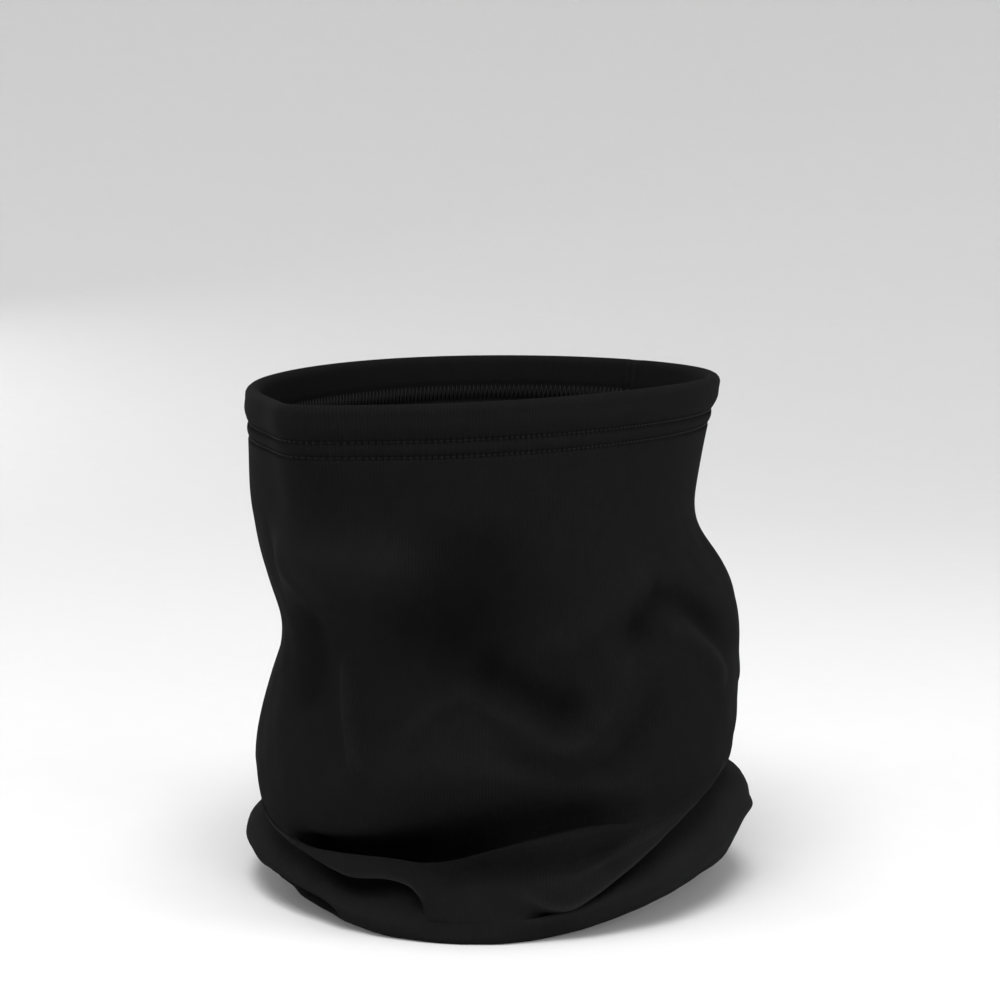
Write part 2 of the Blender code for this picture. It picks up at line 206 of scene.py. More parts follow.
# The end turned under, row by row: (share of the way in to the neck, rise above the fold)
TURN_UNDER_ROWS = [(0, 2), (0.08, -1.6), (0.45, -1.6), (0.85, -1.6), (1, 5), (1, 14), (1, 23),
                   (1, 32)]
# Where no body cloth hangs over the skirt: (start, flat from, flat to, end), given in degrees
TONGUES = [np.radians([21, 26, 43, 61]), np.radians([144, 164, 196, 216])]
# Numbers of the rows where the crease and the lip start, and of the last row
CREASE_ROW = len(BODY_ROWS)
LIP_ROW = CREASE_ROW + len(CREASE_ROWS)
LAST_ROW = LIP_ROW + len(UNDERCUT_ROWS) + SKIRT_ROWS + len(TURN_UNDER_ROWS) - 1
# Rows between which the tube's mesh rows are evenly spaced
EVEN_ROWS = (3.0, LAST_ROW - 2.2)

# How dark the painted shade in the crease is, in keys of (degrees, share)
PAINTED_SHADE_IN_CREASE = [(-24, 1), (20, 1), (32, 0.8), (48, 0.6), (62, 0.5), (74, 0.3), (84, 0.1)]
# How much painted shade darkens per mm of a fold's depth, and painted light pales per mm of rise
PAINTED_SHADE_IN_HOLLOWS = 0.065
PAINTED_LIGHT_ON_RIDGES = 0.012
# How much painted highlight pales the lip's edge, and painted light the cloth from the lip down
PAINTED_LIP_HIGHLIGHT = 0.5
PAINTED_LIGHT_BELOW_LIP = 0.12

# Folds: (name, rise in mm, half width in mm, (rows where it starts and stops),
# [(degrees, height in mm), ...])
BODY = (1.2, CREASE_ROW + 0.5)
ROLL = (CREASE_ROW + 2, LIP_ROW + 1.5)
SKIRT = (LIP_ROW + 4, LIP_ROW + 8)
FOLDS = [
    ("swag, left leg", 2.2, 4.0, BODY,
     [(18, 62), (22, 75), (27, 86), (33, 91), (38, 88), (46, 81), (56, 72)]),
    ("swag, right leg", 2.2, 4.0, BODY,
     [(48, 79), (56, 72), (62, 74), (68, 83), (71, 93), (74, 103), (82, 110)]),
    ("arch", 2.7, 5.2, BODY, [(78, 108), (84, 111), (89, 110), (96, 101), (102, 90), (107, 82)]),
    ("dimple", -5.6, 8.5, BODY, [(34, 100), (46, 91), (55, 83), (64, 86)]),
    ("swag shadow", -3.2, 5.2, BODY,
     [(36, 74), (46, 67), (56, 62), (68, 63), (76, 75), (81, 89), (84, 98)]),
    ("arch shadow", -5.5, 6.8, BODY,
     [(70, 98), (78, 110), (86, 118), (94, 116), (103, 105), (109, 93)]),
    ("cheek ridge", 1.8, 7.0, BODY, [(84, 134), (72, 122), (60, 110), (48, 104)]),
    ("chin", 7.0, 12.0, BODY, [(-20, 131), (-4, 134), (10, 135), (28, 132)]),
    ("front ridge", 4.2, 3.4, BODY, [(4, 104), (6, 91), (7.5, 78), (10, 66), (13, 57)]),
    ("chin hollow", -3.6, 12.0, BODY, [(-9, 120), (-8, 108), (-7, 94), (-5, 76)]),
    ("cheek hollow", -3.8, 16.0, BODY, [(36, 156), (37, 138), (33, 120), (30, 106), (42, 92)]),
    ("mouth hollow", -2.6, 14.0, BODY, [(12, 118), (30, 112), (50, 104)]),
    ("belly", 2.0, 9.0, BODY,
     [(-8, 54), (4, 54), (18, 62), (32, 66), (44, 64), (56, 62), (74, 57)]),
    ("lip bead", 2.2, 2.0, (CREASE_ROW + 2, LIP_ROW + 0.6),
     [(54, 21), (68, 30), (80, 37), (96, 47), (110, 53)]),
    ("branch", -3.0, 5.5, ROLL, [(26, 25), (34, 27), (42, 29), (56, 30), (67, 32), (77, 37)]),
    ("skirt crease", 1.8, 3.5, SKIRT, [(101, 47), (115, 35), (130, 24)]),
    ("skirt opening", -8.0, 2.6, (LIP_ROW + 6, LIP_ROW + 9), [(-29, 9), (-15, 9), (3, 5)]),
    ("left swag", 3.0, 5.0, BODY, [(-66, 98), (-78, 84), (-92, 80), (-106, 90)]),
    ("left swag shadow", -3.4, 6.0, BODY, [(-68, 82), (-82, 70), (-98, 68), (-110, 78)]),
    ("left drape", 2.4, 5.0, BODY, [(-100, 112), (-112, 92), (-126, 76)]),
    ("left hollow", -3.2, 6.0, BODY, [(-104, 96), (-116, 78), (-132, 66)]),
    ("nape swag", 3.0, 4.5, BODY, [(-150, 112), (-162, 96), (-178, 88), (166, 94), (152, 110)]),
    ("nape shadow", -3.4, 5.5, BODY, [(-142, 100), (-150, 90), (-160, 84)]),
    ("nape shadow, right", -3.0, 5.5, BODY, [(158, 86), (150, 92), (144, 104)]),
    ("nape drape", 2.2, 5.0, BODY, [(140, 104), (134, 86), (130, 70)]),
]
# Share of its length over which a fold rises from nothing at each end
FOLD_TAPER = 0.24
UNROLLED_RADIUS = 92

# Slow unevenness of worn cloth: (size in mm, waves round, waves per 100 mm of height, phase)
UNEVENNESS = [(0.28, 5, 0.9, 0.3), (0.22, 9, -1.3, 1.9), (0.16, 14, 1.9, 4.1),
              (0.12, 23, -2.6, 2.7), (0.08, 37, 3.4, 5.2)]

# Spacing of the knit's loops and of the ribbon's threads
WALE_WIDTH = 1.1 * MM
COURSE_HEIGHT = 0.8 * MM
WEFT_SPACING = 0.35 * MM
WARP_SPACING = 0.5 * MM

# Camera, studio and floor
CAMERA_AZIMUTH = math.radians(40)
CAMERA_DISTANCE = 0.88
CAMERA_HEIGHT = 0.285
CAMERA_PITCH = math.radians(8.93)
CAMERA_YAW = math.radians(-0.245)
CAMERA_LENS = 83.3
WORLD_STRENGTH = 0.4
# Round studio cove: flat floor, curved up into a low wall (radius and height in metres)
COVE_FLOOR_RADIUS = 0.9
COVE_CURVE_RADIUS = 1.7
COVE_WALL_HEIGHT = 1.75
COVE_COLUMNS = 96
LIGHT_TARGET = (0, 0, 0.1)
# Soft boxes: (name, azimuth from the front in degrees, distance, height, size, power)
SOFT_BOXES = [
    ("overhead", 30, 0.55, 1.9, 1.2, 43),
    ("front_left", -35, 1.3, 0.35, 0.5, 7),
    ("front_right", 68, 1.4, 0.8, 0.5, 3),
    ("right", 112, 1.3, 0.3, 0.5, 9),
    ("left_edge", -110, 1.4, 0.5, 0.5, 2),
]


def around(values, angle):
    """A smooth closed curve through the values at the eight stations."""
    waves = np.fft.rfft(values) / len(values)
    turn = np.asarray(angle) - STATIONS[0]
    total = np.full(np.shape(turn), waves[0].real)
    for order in range(1, len(waves)):
        share = 1.0 if 2 * order == len(values) else 2.0
        total = total + share * waves[order].real * np.cos(order * turn)
        total = total - share * waves[order].imag * np.sin(order * turn)
    return total


def wrapped(angle):
    """An angle between -pi and pi."""
    return (np.asarray(angle) + math.pi) % (2 * math.pi) - math.pi


def smooth_step(start, end, value):
    """0 before the start, 1 after the end and a smooth rise between them."""
    share = np.clip((value - start) / (end - start), 0, 1)
    return share * share * (3 - 2 * share)


def bell(away, half_width):
    """1 in the middle, falling smoothly to nothing on both sides."""
    return np.exp(-(away / half_width) ** 2)


def eased(degrees, keys):
    """A smooth line through keys of (degrees, value)."""
    return sum(np.interp(degrees + shift, *zip(*keys)) for shift in (-6, -3, 0, 3, 6)) / 5


def span_share(value, start, full, fading, end):
    """1 from full to fading, 0 before the start and past the end."""
    return smooth_step(start, full, value) * (1 - smooth_step(fading, end, value))


def overhang(angle):
    """0 where the cloth drops straight to the fold, 1 where the body hangs over it."""
    share = np.ones(np.shape(angle))
    turn = np.asarray(angle) % (2 * math.pi)
    for start, flat_from, flat_to, end in TONGUES:
        share = share * (1 - smooth_step(start, flat_from, turn) + smooth_step(flat_to, end, turn))
    return share


def nose_bump(angle):
    """The ridge that the nose pushes out, 1 at the front."""
    away = np.abs(wrapped(angle))
    return sum(share * bell(away, width) for width, share in zip(NOSE_HALF_WIDTHS, NOSE_SHARES))


def pocket_share(degrees):
    """1 in the middle of the pocket under the lip, 0 away from it."""
    return bell(degrees - POCKET_CENTRE, POCKET_WIDTH)


def control_rows(angle):
    """Control points (radius, height) in mm of the profile at each angle, rim first."""
    rows = []
    degrees = np.degrees(wrapped(angle))
    for name, heights, radii in BODY_ROWS:
        proud = NOSE_PROUD.get(name, 0) * nose_bump(angle)
        rows.append((around(radii, angle) + proud, around(heights, angle)))
    creased, gathered = span_share(degrees, *CREASE_SPAN), span_share(degrees, *GATHER_SPAN)
    edge = eased(degrees, CREASE_EDGE)
    top = eased(degrees, CREASE_TOP)
    belly_radius, belly_height = rows[-1]
    belly_height = belly_height + np.maximum(top + BELLY_OVER_CREASE - belly_height, 0) * gathered
    rows[-1] = (belly_radius, belly_height)
    over = overhang(angle)
    lift_centre, lift_width, lift = LIP_LIFT
    lip_height = around(LIP_HEIGHTS, angle) + lift * bell(wrapped(angle - lift_centre), lift_width)
    lip_radius = around(LIP_RADII, angle)
    skirt_height = around(SKIRT_HEIGHTS, angle)
    skirt_radius = around(SKIRT_RADII, angle)
    fold_height = np.maximum(around(FOLD_HEIGHTS, angle), 0)
    fold_radius = around(FOLD_RADII, angle)

    drop_from = belly_height + (edge - 2 - belly_height) * gathered
    undercut = []
    for drop, step_out, rise in UNDERCUT_ROWS:
        open_height = drop_from + (skirt_height - drop_from) * drop
        height = open_height + (lip_height + rise - open_height) * over
        height = height - np.maximum(height + UNDERCUT_CLEARANCE - edge, 0) * gathered
        undercut.append((lip_radius + step_out * over, height))
    depth, sink = eased(degrees, CREASE_DEPTH), eased(degrees, CREASE_SINK) * creased
    for step_in, up, rise, sunk, share in CREASE_ROWS:
        plain_radius = belly_radius + (undercut[0][0] - belly_radius) * share
        plain_height = belly_height + (undercut[0][1] - belly_height) * share
        radius = plain_radius + (belly_radius - step_in * depth - plain_radius) * creased
        height = edge + rise - sink * sunk + (top - edge) * up
        rows.append((radius, plain_height + (height - plain_height) * gathered))
    rows += undercut

    up_to_lip = SHOULDER_SHARE - POCKET_DROP * pocket_share(degrees)
    shoulder = skirt_height + 2 + up_to_lip * (lip_height - skirt_height) * over
    rows.append((skirt_radius - SKIRT_SHOULDER * over, shoulder))
    rows.append((skirt_radius, skirt_height))
    rows.append((0.6 * fold_radius + 0.4 * skirt_radius,
                 0.55 * fold_height + 0.45 * skirt_height))
    for share, rise in TURN_UNDER_ROWS:
        rows.append((fold_radius + (NECK_RADIUS - fold_radius) * share, fold_height + rise))
    return np.array(rows)


def spline(controls, rows):
    """Uniform cubic B-spline down each column of controls (row, 2, angle) at rows (row, angle)."""
    first = 2 * controls[:1] - controls[1:2]
    last = 2 * controls[-1:] - controls[-2:-1]
    padded = np.concatenate([first, controls, last])
    index = np.clip(np.floor(rows).astype(int), 0, len(controls) - 2)
    part = (rows - index)[..., None]
    weights = ((1 - part) ** 3, 3 * part ** 3 - 6 * part ** 2 + 4,
               -3 * part ** 3 + 3 * part ** 2 + 3 * part + 1, part ** 3)
    column = np.arange(controls.shape[2])
    return sum(weight * padded[index + step, :, column] for step, weight in enumerate(weights)) / 6


def along_route(route, across, height):
    """Distance in mm from a route over the unrolled cloth, and how far along it, 0 to 1."""
    points = np.array([(math.radians(degrees) * UNROLLED_RADIUS, up) for degrees, up in route])
    turn = 2 * math.pi * UNROLLED_RADIUS
    points[1:, 0] -= turn * np.round(np.diff(points[:, 0]) / turn).cumsum()
    middle = points[:, 0].mean()
    across = middle + (across - middle + turn / 2) % turn - turn / 2
    lengths = np.linalg.norm(np.diff(points, axis=0), axis=1)
    starts = np.concatenate([[0], lengths.cumsum()])
    nearest = np.full(np.shape(across), np.inf)
    place = np.zeros(np.shape(across))
    for here, there, length, start in zip(points, points[1:], lengths, starts):
        way = (there - here) / length
        run = np.clip((across - here[0]) * way[0] + (height - here[1]) * way[1], 0, length)
        gap = np.hypot(across - here[0] - way[0] * run, height - here[1] - way[1] * run)
        closer = gap < nearest
        nearest = np.where(closer, gap, nearest)
        place = np.where(closer, start + run, place)
    return nearest, place / starts[-1]


def fold_rise(angles, height, rows):
    """How far in mm the folds push the knit face out from the profile."""
    across = np.broadcast_to(wrapped(angles) * UNROLLED_RADIUS, height.shape)
    total = np.zeros(height.shape)
    for _, rise, half_width, (start, end), route in FOLDS:
        distance, place = along_route(route, across, height)
        taper = smooth_step(-0.02, FOLD_TAPER, place) * smooth_step(-0.02, FOLD_TAPER, 1 - place)
        within = span_share(rows, start - 1, start, end, end + 1)
        total += rise * bell(distance, half_width) * taper * within
    worn = span_share(rows, 1.5, 3.5, LAST_ROW - 6, LAST_ROW - 4)
    for size, turns, climb, phase in UNEVENNESS:
        total += worn * size * np.sin(turns * angles + climb * height / 100 * 2 * math.pi + phase)
    depth, half_width = BACK_GROOVE
    sewn = 1 - smooth_step(LAST_ROW - 8, LAST_ROW - 6, rows)
    from_seam = wrapped(angles - math.pi) * UNROLLED_RADIUS
    return total - sewn * depth * bell(from_seam, half_width)


def knit_face(angles, rows):
    """Points on the knit face round the neck's axis: (row, angle, xyz)."""
    profile = spline(control_rows(angles), rows)
    height = profile[..., 1]
    radius = profile[..., 0] + fold_rise(angles, height, rows)
    return np.stack([radius * np.sin(angles), -radius * np.cos(angles), height], axis=-1) * MM


def fleece_side(angles, rows):
    """Unit normals of the knit face towards the fleece side: (row, angle, xyz)."""
    nudge = 1e-3
    lower = knit_face(angles, np.minimum(rows + nudge, LAST_ROW))
    upper = knit_face(angles, np.maximum(rows - nudge, 0))
    after = knit_face(angles + nudge, rows)
    before = knit_face(angles - nudge, rows)
    normals = np.cross(after - before, lower - upper)
    return normals / np.linalg.norm(normals, axis=-1, keepdims=True)


def cloth_points(angles, rows, depth):
    """Points at a depth under the knit face; cloth that would sink into the floor lies on it."""
    rows = np.asarray(rows, float).reshape(len(rows), -1)
    rows = np.broadcast_to(rows, (len(rows), len(angles)))
    points = knit_face(angles, rows)
    points[..., 2] = np.maximum(points[..., 2], 0)
    return points + fleece_side(angles, rows) * depth + AXIS


def rows_at_length(angles, lengths, from_end):
    """The rows that lie at given lengths of cloth from the rim or from the bottom end."""
    span = (LAST_ROW - HEM_REACH, LAST_ROW) if from_end else (0, HEM_REACH)
    fine = np.linspace(*span, HEM_REACH * FINE_STEPS_PER_ROW + 1)
    points = knit_face(angles, np.repeat(fine[:, None], len(angles), axis=1))
    steps = np.linalg.norm(np.diff(points, axis=0), axis=-1)
    run = np.concatenate([np.zeros((1, len(angles))), np.cumsum(steps, axis=0)])
    wanted = np.asarray(lengths, float)
    places = run[-1] - wanted[:, None] if from_end else wanted[:, None] + 0 * run[-1]
    columns = [np.interp(places[:, i], run[:, i], fine) for i in range(len(angles))]
    return np.array(columns).T


def pressed(rows):
    """1 where the cloth has its full thickness, less where it is squeezed in the tight folds."""
    tight = span_share(rows, CREASE_ROW - 0.8, CREASE_ROW, LIP_ROW + 5, LIP_ROW + 6)
    return (1 - (1 - FOLD_SQUEEZE) * tight)[..., None]


def cloth_lengths(points):
    """Mean length of cloth from the first row to each row of points, in metres."""
    steps = np.linalg.norm(np.diff(points, axis=0), axis=-1).mean(axis=1)
    return np.concatenate([[0], np.cumsum(steps)])


def column_angles(count):
    """Angles of a number of columns, evenly round the tube."""
    return np.linspace(-math.pi, math.pi, count, endpoint=False)


def place_piece(name, data, material):
    """A new piece of the object with its material."""
    data.materials.append(material)
    piece = bpy.data.objects.new(name, data)
    bpy.context.scene.collection.objects.link(piece)
    return piece


def compute_painted_light_and_shade(angles, rows):
    """Painted shade and light: 0 on open cloth, 1 for full painted shade deep in a fold, below 0
    for painted light.
    """
    degrees = np.degrees(wrapped(angles))
    opened, over = pocket_share(degrees), overhang(angles)
    # Painted shade: darker deep in the crease under the belly and under the overhanging lip
    crease = span_share(rows, CREASE_ROW, CREASE_ROW + 1.8, LIP_ROW - 1.8, LIP_ROW - 1.1)
    crease = crease * span_share(degrees, *CREASE_SPAN) * eased(degrees, PAINTED_SHADE_IN_CREASE)
    under_lip_shade = span_share(rows, LIP_ROW + 1.5, LIP_ROW + 2.2,
                           LIP_ROW + 3.4 + 0.9 * opened, LIP_ROW + 4.4 + 0.7 * opened)
    # Painted highlight: the lip's edge is paler
    lip_edge_highlight = bell(rows - LIP_ROW - 0.9, 0.3)
    painted_folds_and_lip = np.maximum(crease, under_lip_shade * over ** 4)
    painted_folds_and_lip = painted_folds_and_lip - PAINTED_LIP_HIGHLIGHT * (1 - 0.6 * opened) * lip_edge_highlight * over
    # Painted shade in the folds' hollows and painted light on their ridges
    relief = fold_rise(angles, spline(control_rows(angles), rows)[..., 1], rows)
    hollows, ridges = np.maximum(-relief, 0), np.maximum(relief, 0)
    # Painted light: the cloth from the lip down is paler
    painted_below_lip_light = PAINTED_LIGHT_BELOW_LIP * smooth_step(LIP_ROW - 1, LIP_ROW, rows)
    return painted_folds_and_lip + PAINTED_SHADE_IN_HOLLOWS * hollows - PAINTED_LIGHT_ON_RIDGES * ridges - painted_below_lip_light


def store_painted_light_and_shade(piece, values):
    """Keeps the painted shade and light on the piece's points, for its material."""
    attribute = piece.data.attributes.new("painted_light_and_shade", "FLOAT", "POINT")
    attribute.data.foreach_set("value", values.astype(np.float32).reshape(-1))


def add_shell(name, points, along, material):
    """A closed ring of quads from sections (point, angle, xyz), with UVs in metres of cloth."""
    count, turns = points.shape[:2]
    row, column = np.meshgrid(np.arange(count), np.arange(turns), indexing="ij")
    below, right = (row + 1) % count, (column + 1) % turns
    faces = np.stack([row * turns + column, below * turns + column, below * turns + right,
                      row * turns + right], axis=-1).reshape(-1, 4)
    across = np.stack([column, column, column + 1, column + 1], axis=-1) * (CLOTH_ROUND / turns)
    up = np.asarray(along)[np.stack([row, below, below, row], axis=-1)]
    uvs = np.stack([across, -up], axis=-1).reshape(-1, 4, 2)
    flat = points.reshape(-1, 3)
    first = flat[faces[:, 0]]
    volume = np.einsum("ij,ij->i", first, np.cross(flat[faces[:, 1]], flat[faces[:, 2]])).sum()
    volume += np.einsum("ij,ij->i", first, np.cross(flat[faces[:, 2]], flat[faces[:, 3]])).sum()
    if volume < 0:
        faces, uvs = faces[:, ::-1], uvs[:, ::-1]
    mesh = bpy.data.meshes.new(name)
    mesh.from_pydata(flat.tolist(), [], faces.tolist())
    layer = mesh.uv_layers.new(name="cloth")
    layer.data.foreach_set("uv", uvs.reshape(-1).astype(np.float32))
    mesh.shade_smooth()
    mesh.set_sharp_from_angle(angle=math.radians(60))
    return place_piece(name, mesh, material)


def add_thread(name, points, radius, closed, material):
    """A thread as a round curve through the points."""
    curve = bpy.data.curves.new(name, "CURVE")
    curve.dimensions = "3D"
    curve.bevel_depth = radius
    curve.bevel_resolution = 1
    curve.use_fill_caps = not closed
    line = curve.splines.new("POLY")
    line.points.add(len(points) - 1)
    line.points.foreach_set("co", np.column_stack([points, np.ones(len(points))]).reshape(-1))
    line.use_cyclic_u = closed
    return place_piece(name, curve, material)


class Nodes:
    """A material's node tree, with short calls to add nodes and to join them."""

    def __init__(self, name):
        self.material = bpy.data.materials.new(name)
        self.material.use_nodes = True
        self.tree = self.material.node_tree
        self.shader = self.tree.nodes["Principled BSDF"]
        self.place = self.add("ShaderNodeTexCoord", {}).outputs["Object"]

    def add(self, kind, inputs, **settings):
        node = self.tree.nodes.new(kind)
        for name, value in settings.items():
            setattr(node, name, value)
        for key, value in inputs.items():
            self.put(node.inputs[key], value)
        return node

    def put(self, socket, value):
        if isinstance(value, bpy.types.NodeSocket):
            self.tree.links.new(value, socket)
        else:
            socket.default_value = value

    def maths(self, operation, *values):
        inputs = dict(enumerate(values))
        return self.add("ShaderNodeMath", inputs, operation=operation).outputs[0]

    def weighted(self, *shares):
        """The sum of some values, each times its share."""
        parts = [value if share == 1 else self.maths("MULTIPLY", value, share)
                 for value, share in shares]
        total = parts[0]
        for part in parts[1:]:
            total = self.maths("ADD", total, part)
        return total

    def noise(self, scale, detail, roughness):
        inputs = {"Vector": self.place, "Scale": scale, "Detail": detail, "Roughness": roughness}
        return self.add("ShaderNodeTexNoise", inputs).outputs["Fac"]

    def mix(self, share, dark, light):
        node = self.add("ShaderNodeMix", {"Factor": share}, data_type="RGBA")
        for number, tone in ((6, dark), (7, light)):
            is_socket = isinstance(tone, bpy.types.NodeSocket)
            self.put(node.inputs[number], tone if is_socket else (*tone, 1.0))
        return node.outputs[2]

    def finish(self, colour, height, *, strength, distance, roughness, sheen, sheen_roughness,
               specular):
        self.put(self.shader.inputs["Base Color"], colour)
        self.shader.inputs["Roughness"].default_value = roughness
        self.shader.inputs["Sheen Weight"].default_value = sheen
        self.shader.inputs["Sheen Roughness"].default_value = sheen_roughness
        self.shader.inputs["Specular IOR Level"].default_value = specular
        inputs = {"Height": height, "Strength": strength, "Distance": distance}
        bump = self.add("ShaderNodeBump", inputs)
        self.put(self.shader.inputs["Normal"], bump.outputs["Normal"])
        return self.material


def knit_material():
    """Fine jersey: wales down the cloth, courses across it, slightly fuzzy."""
    nodes = Nodes("black_knit_cloth")
    uv = nodes.add("ShaderNodeUVMap", {}, uv_map="cloth")
    axes = nodes.add("ShaderNodeSeparateXYZ", {"Vector": uv.outputs["UV"]})
    wale = nodes.maths("MULTIPLY", axes.outputs["X"], 1 / WALE_WIDTH)
    arm = nodes.maths("PINGPONG", wale, 0.5)
    rib = nodes.maths("ABSOLUTE", nodes.maths("SINE", nodes.maths("MULTIPLY", wale, math.pi)))
    course = nodes.maths("MULTIPLY", axes.outputs["Y"], 1 / COURSE_HEIGHT)
    slanted = nodes.maths("MULTIPLY", nodes.maths("ADD", course, arm), math.pi)
    loop = nodes.maths("ABSOLUTE", nodes.maths("SINE", slanted))
    fuzz = nodes.noise(2600.0, 3.0, 0.7)
    uneven = nodes.noise(160.0, 3.0, 0.55)
    knitted = nodes.weighted((rib, 0.6), (loop, 0.3))
    height = nodes.weighted((knitted, 1.0), (fuzz, 0.5), (uneven, 0.8))
    tone = nodes.weighted((knitted, 0.4), (uneven, 0.2), (fuzz, 0.4))
    colour = nodes.mix(tone, (0.0018, 0.0018, 0.0019), (0.0090, 0.0090, 0.0091))
    # The painted light and shade kept on the cloth's points
    painted_light_and_shade = nodes.add("ShaderNodeAttribute", {}, attribute_name="painted_light_and_shade").outputs["Fac"]
    # Painted shade: mixes the colour towards near black
    colour = nodes.mix(painted_light_and_shade, colour, (0.0006, 0.0006, 0.0006))
    # Painted light and highlight: mixes the colour towards a paler grey
    colour = nodes.mix(nodes.maths("MULTIPLY", painted_light_and_shade, -1.0), colour, (0.028, 0.028, 0.0282))
    return nodes.finish(colour, height, strength=0.5, distance=0.2 * MM, roughness=0.8,
                        sheen=0.003, sheen_roughness=0.45, specular=0.01)


def fleece_material():
    """Brushed pile: tufts about 1.5 mm across that catch the light at their edges."""
    nodes = Nodes("black_fleece_pile")
    tufts = nodes.noise(620.0, 4.0, 0.65)
    fibres = nodes.noise(3400.0, 3.0, 0.7)
    height = nodes.weighted((tufts, 1.0), (fibres, 0.5))
    colour = nodes.mix(tufts, (0.0040, 0.0040, 0.0041), (0.011, 0.011, 0.0113))
    return nodes.finish(colour, height, strength=0.9, distance=0.7 * MM, roughness=0.95,
                        sheen=0.02, sheen_roughness=0.5, specular=0.03)


def thread_material():
    """Twisted polyester thread."""
    nodes = Nodes("black_sewing_thread")
    twist = nodes.noise(5200.0, 2.0, 0.6)
    colour = nodes.mix(twist, (0.003, 0.003, 0.003), (0.008, 0.008, 0.008))
    return nodes.finish(colour, twist, strength=0.5, distance=0.15 * MM, roughness=0.6,
                        sheen=0.01, sheen_roughness=0.4, specular=0.12)


def ribbon_material():
    """Blank satin ribbon: fine cross weave."""
    nodes = Nodes("dark_satin_ribbon")
    axes = nodes.add("ShaderNodeSeparateXYZ", {"Vector": nodes.place})
    weft, warp = (
        nodes.maths("SINE", nodes.maths("MULTIPLY", axes.outputs[axis], 2 * math.pi / spacing))
        for axis, spacing in (("Z", WEFT_SPACING), ("Y", WARP_SPACING)))
    grain = nodes.weighted((weft, 1.0), (warp, 0.4))
    slub = nodes.noise(900.0, 2.0, 0.5)
    colour = nodes.mix(slub, (0.024, 0.024, 0.025), (0.040, 0.040, 0.041))
    return nodes.finish(colour, grain, strength=0.4, distance=0.06 * MM, roughness=0.38,
                        sheen=0.15, sheen_roughness=0.3, specular=0.5)


def floor_material():
    """Matt pale studio floor."""
    nodes = Nodes("studio_floor")
    speckle = nodes.noise(60.0, 3.0, 0.6)
    colour = nodes.mix(speckle, (0.64, 0.64, 0.64), (0.66, 0.66, 0.66))
    return nodes.finish(colour, speckle, strength=0.02, distance=0.2 * MM, roughness=0.9,
                        sheen=0.0, sheen_roughness=0.5, specular=0.2)


def groove(lengths, phase):
    """Depth in metres that the two needle rows and the bulge above them add to the hem's face."""
    depth = np.zeros(np.broadcast(lengths, phase).shape)
    ripple = 1 + STITCH_RIPPLE * np.cos(phase)
    for row in NEEDLE_ROWS:
        depth = depth + STITCH_PINCH * ripple * bell(lengths - row, STITCH_PINCH_WIDTH * ripple)
    depth = depth - RIDGE_BULGE * bell(lengths - sum(NEEDLE_ROWS) / 2, RIDGE_HALF_WIDTH)
    above = (lengths - HEM_ROLL_RADIUS) / (NEEDLE_ROWS[0] - HEM_ROLL_RADIUS)
    return depth - HEM_BULGE * np.sin(math.pi * np.clip(above, 0, 1)) ** 2


def hem_section(depth, face_lengths):
    """A hem's section at a depth in the cloth: lengths from the edge, depths, and sides.

    The side is 1 on the face, 0 on the roll over the edge and -1 on the back.
    """
    radius = HEM_ROLL_RADIUS - depth
    turn = np.radians(np.linspace(0, 180, 9))
    back = np.append(HEM_BACK_LENGTHS, HEM_DEPTH)
    lengths = np.concatenate([face_lengths, HEM_ROLL_RADIUS - radius * np.sin(turn), back])
    depths = np.concatenate([np.full(len(face_lengths), depth),
                             HEM_ROLL_RADIUS - radius * np.cos(turn),
                             np.full(len(back), 2 * HEM_ROLL_RADIUS - depth)])
    sides = np.repeat([1, 0, -1], [len(face_lengths), len(turn), len(back)])
    return lengths, depths, sides


def hem_points(angles, section, phase, from_end):
    """A hem section swept round the tube: (point, angle, xyz)."""
    lengths, depths, sides = (column[:, None] for column in section)
    rows = rows_at_length(angles, lengths[:, 0], from_end)
    dent = groove(lengths, phase[None, :])
    face = (sides > 0) * dent
    back = (sides < 0) * np.maximum(dent, 0) * -GROOVE_INSIDE
    return cloth_points(angles, rows, (depths + face + back)[..., None])


def section_lengths(section):
    """Running length of cloth along a section, in metres, for its UVs."""
    lengths, depths, _ = section
    steps = np.hypot(np.diff(lengths), np.diff(depths))
    return np.concatenate([[0], np.cumsum(steps)])


def add_hem(prefix, stitches, from_end, knit, fleece):
    """A turned hem: the knit that shows on both sides and the fleece folded inside it."""
    angles = column_angles(stitches * POINTS_PER_STITCH)
    phase = angles * stitches
    outer = hem_section(0.0, HEM_FACE_LENGTHS)
    inner = hem_section(KNIT_THICKNESS, HEM_FACE_LENGTHS[::2])
    points = np.concatenate([hem_points(angles, outer, phase, from_end),
                             hem_points(angles, inner, phase, from_end)[::-1]])
    along = JOIN - np.concatenate([section_lengths(outer), section_lengths(inner)[::-1]])
    face = add_shell(prefix + "_band_knit", points, along, knit)

    coarse = column_angles(TUBE_COLUMNS)
    near = hem_section(KNIT_THICKNESS + LAYER_GAP, HEM_FACE_LENGTHS[::3])
    core = hem_points(coarse, near, coarse * 0, from_end)
    inside = add_shell(prefix + "_band_fleece", core, section_lengths(near), fleece)
    return face, inside


def add_needle_row(name, length, stitches, from_end, thread):
    """One row of stitches that dip into the cloth at each needle hole."""
    angles = column_angles(stitches * POINTS_PER_STITCH)
    phase = angles * stitches
    rows = rows_at_length(angles, [length], from_end)
    proud = groove(length, phase) - NEEDLE_THREAD_RADIUS * STITCH_PROUD
    dip = NEEDLE_THREAD_RADIUS * STITCH_DIP * np.clip(np.cos(phase), 0, 1)
    points = cloth_points(angles, rows, (proud + dip)[None, :, None])[0]
    return add_thread(name, points, NEEDLE_THREAD_RADIUS, True, thread)


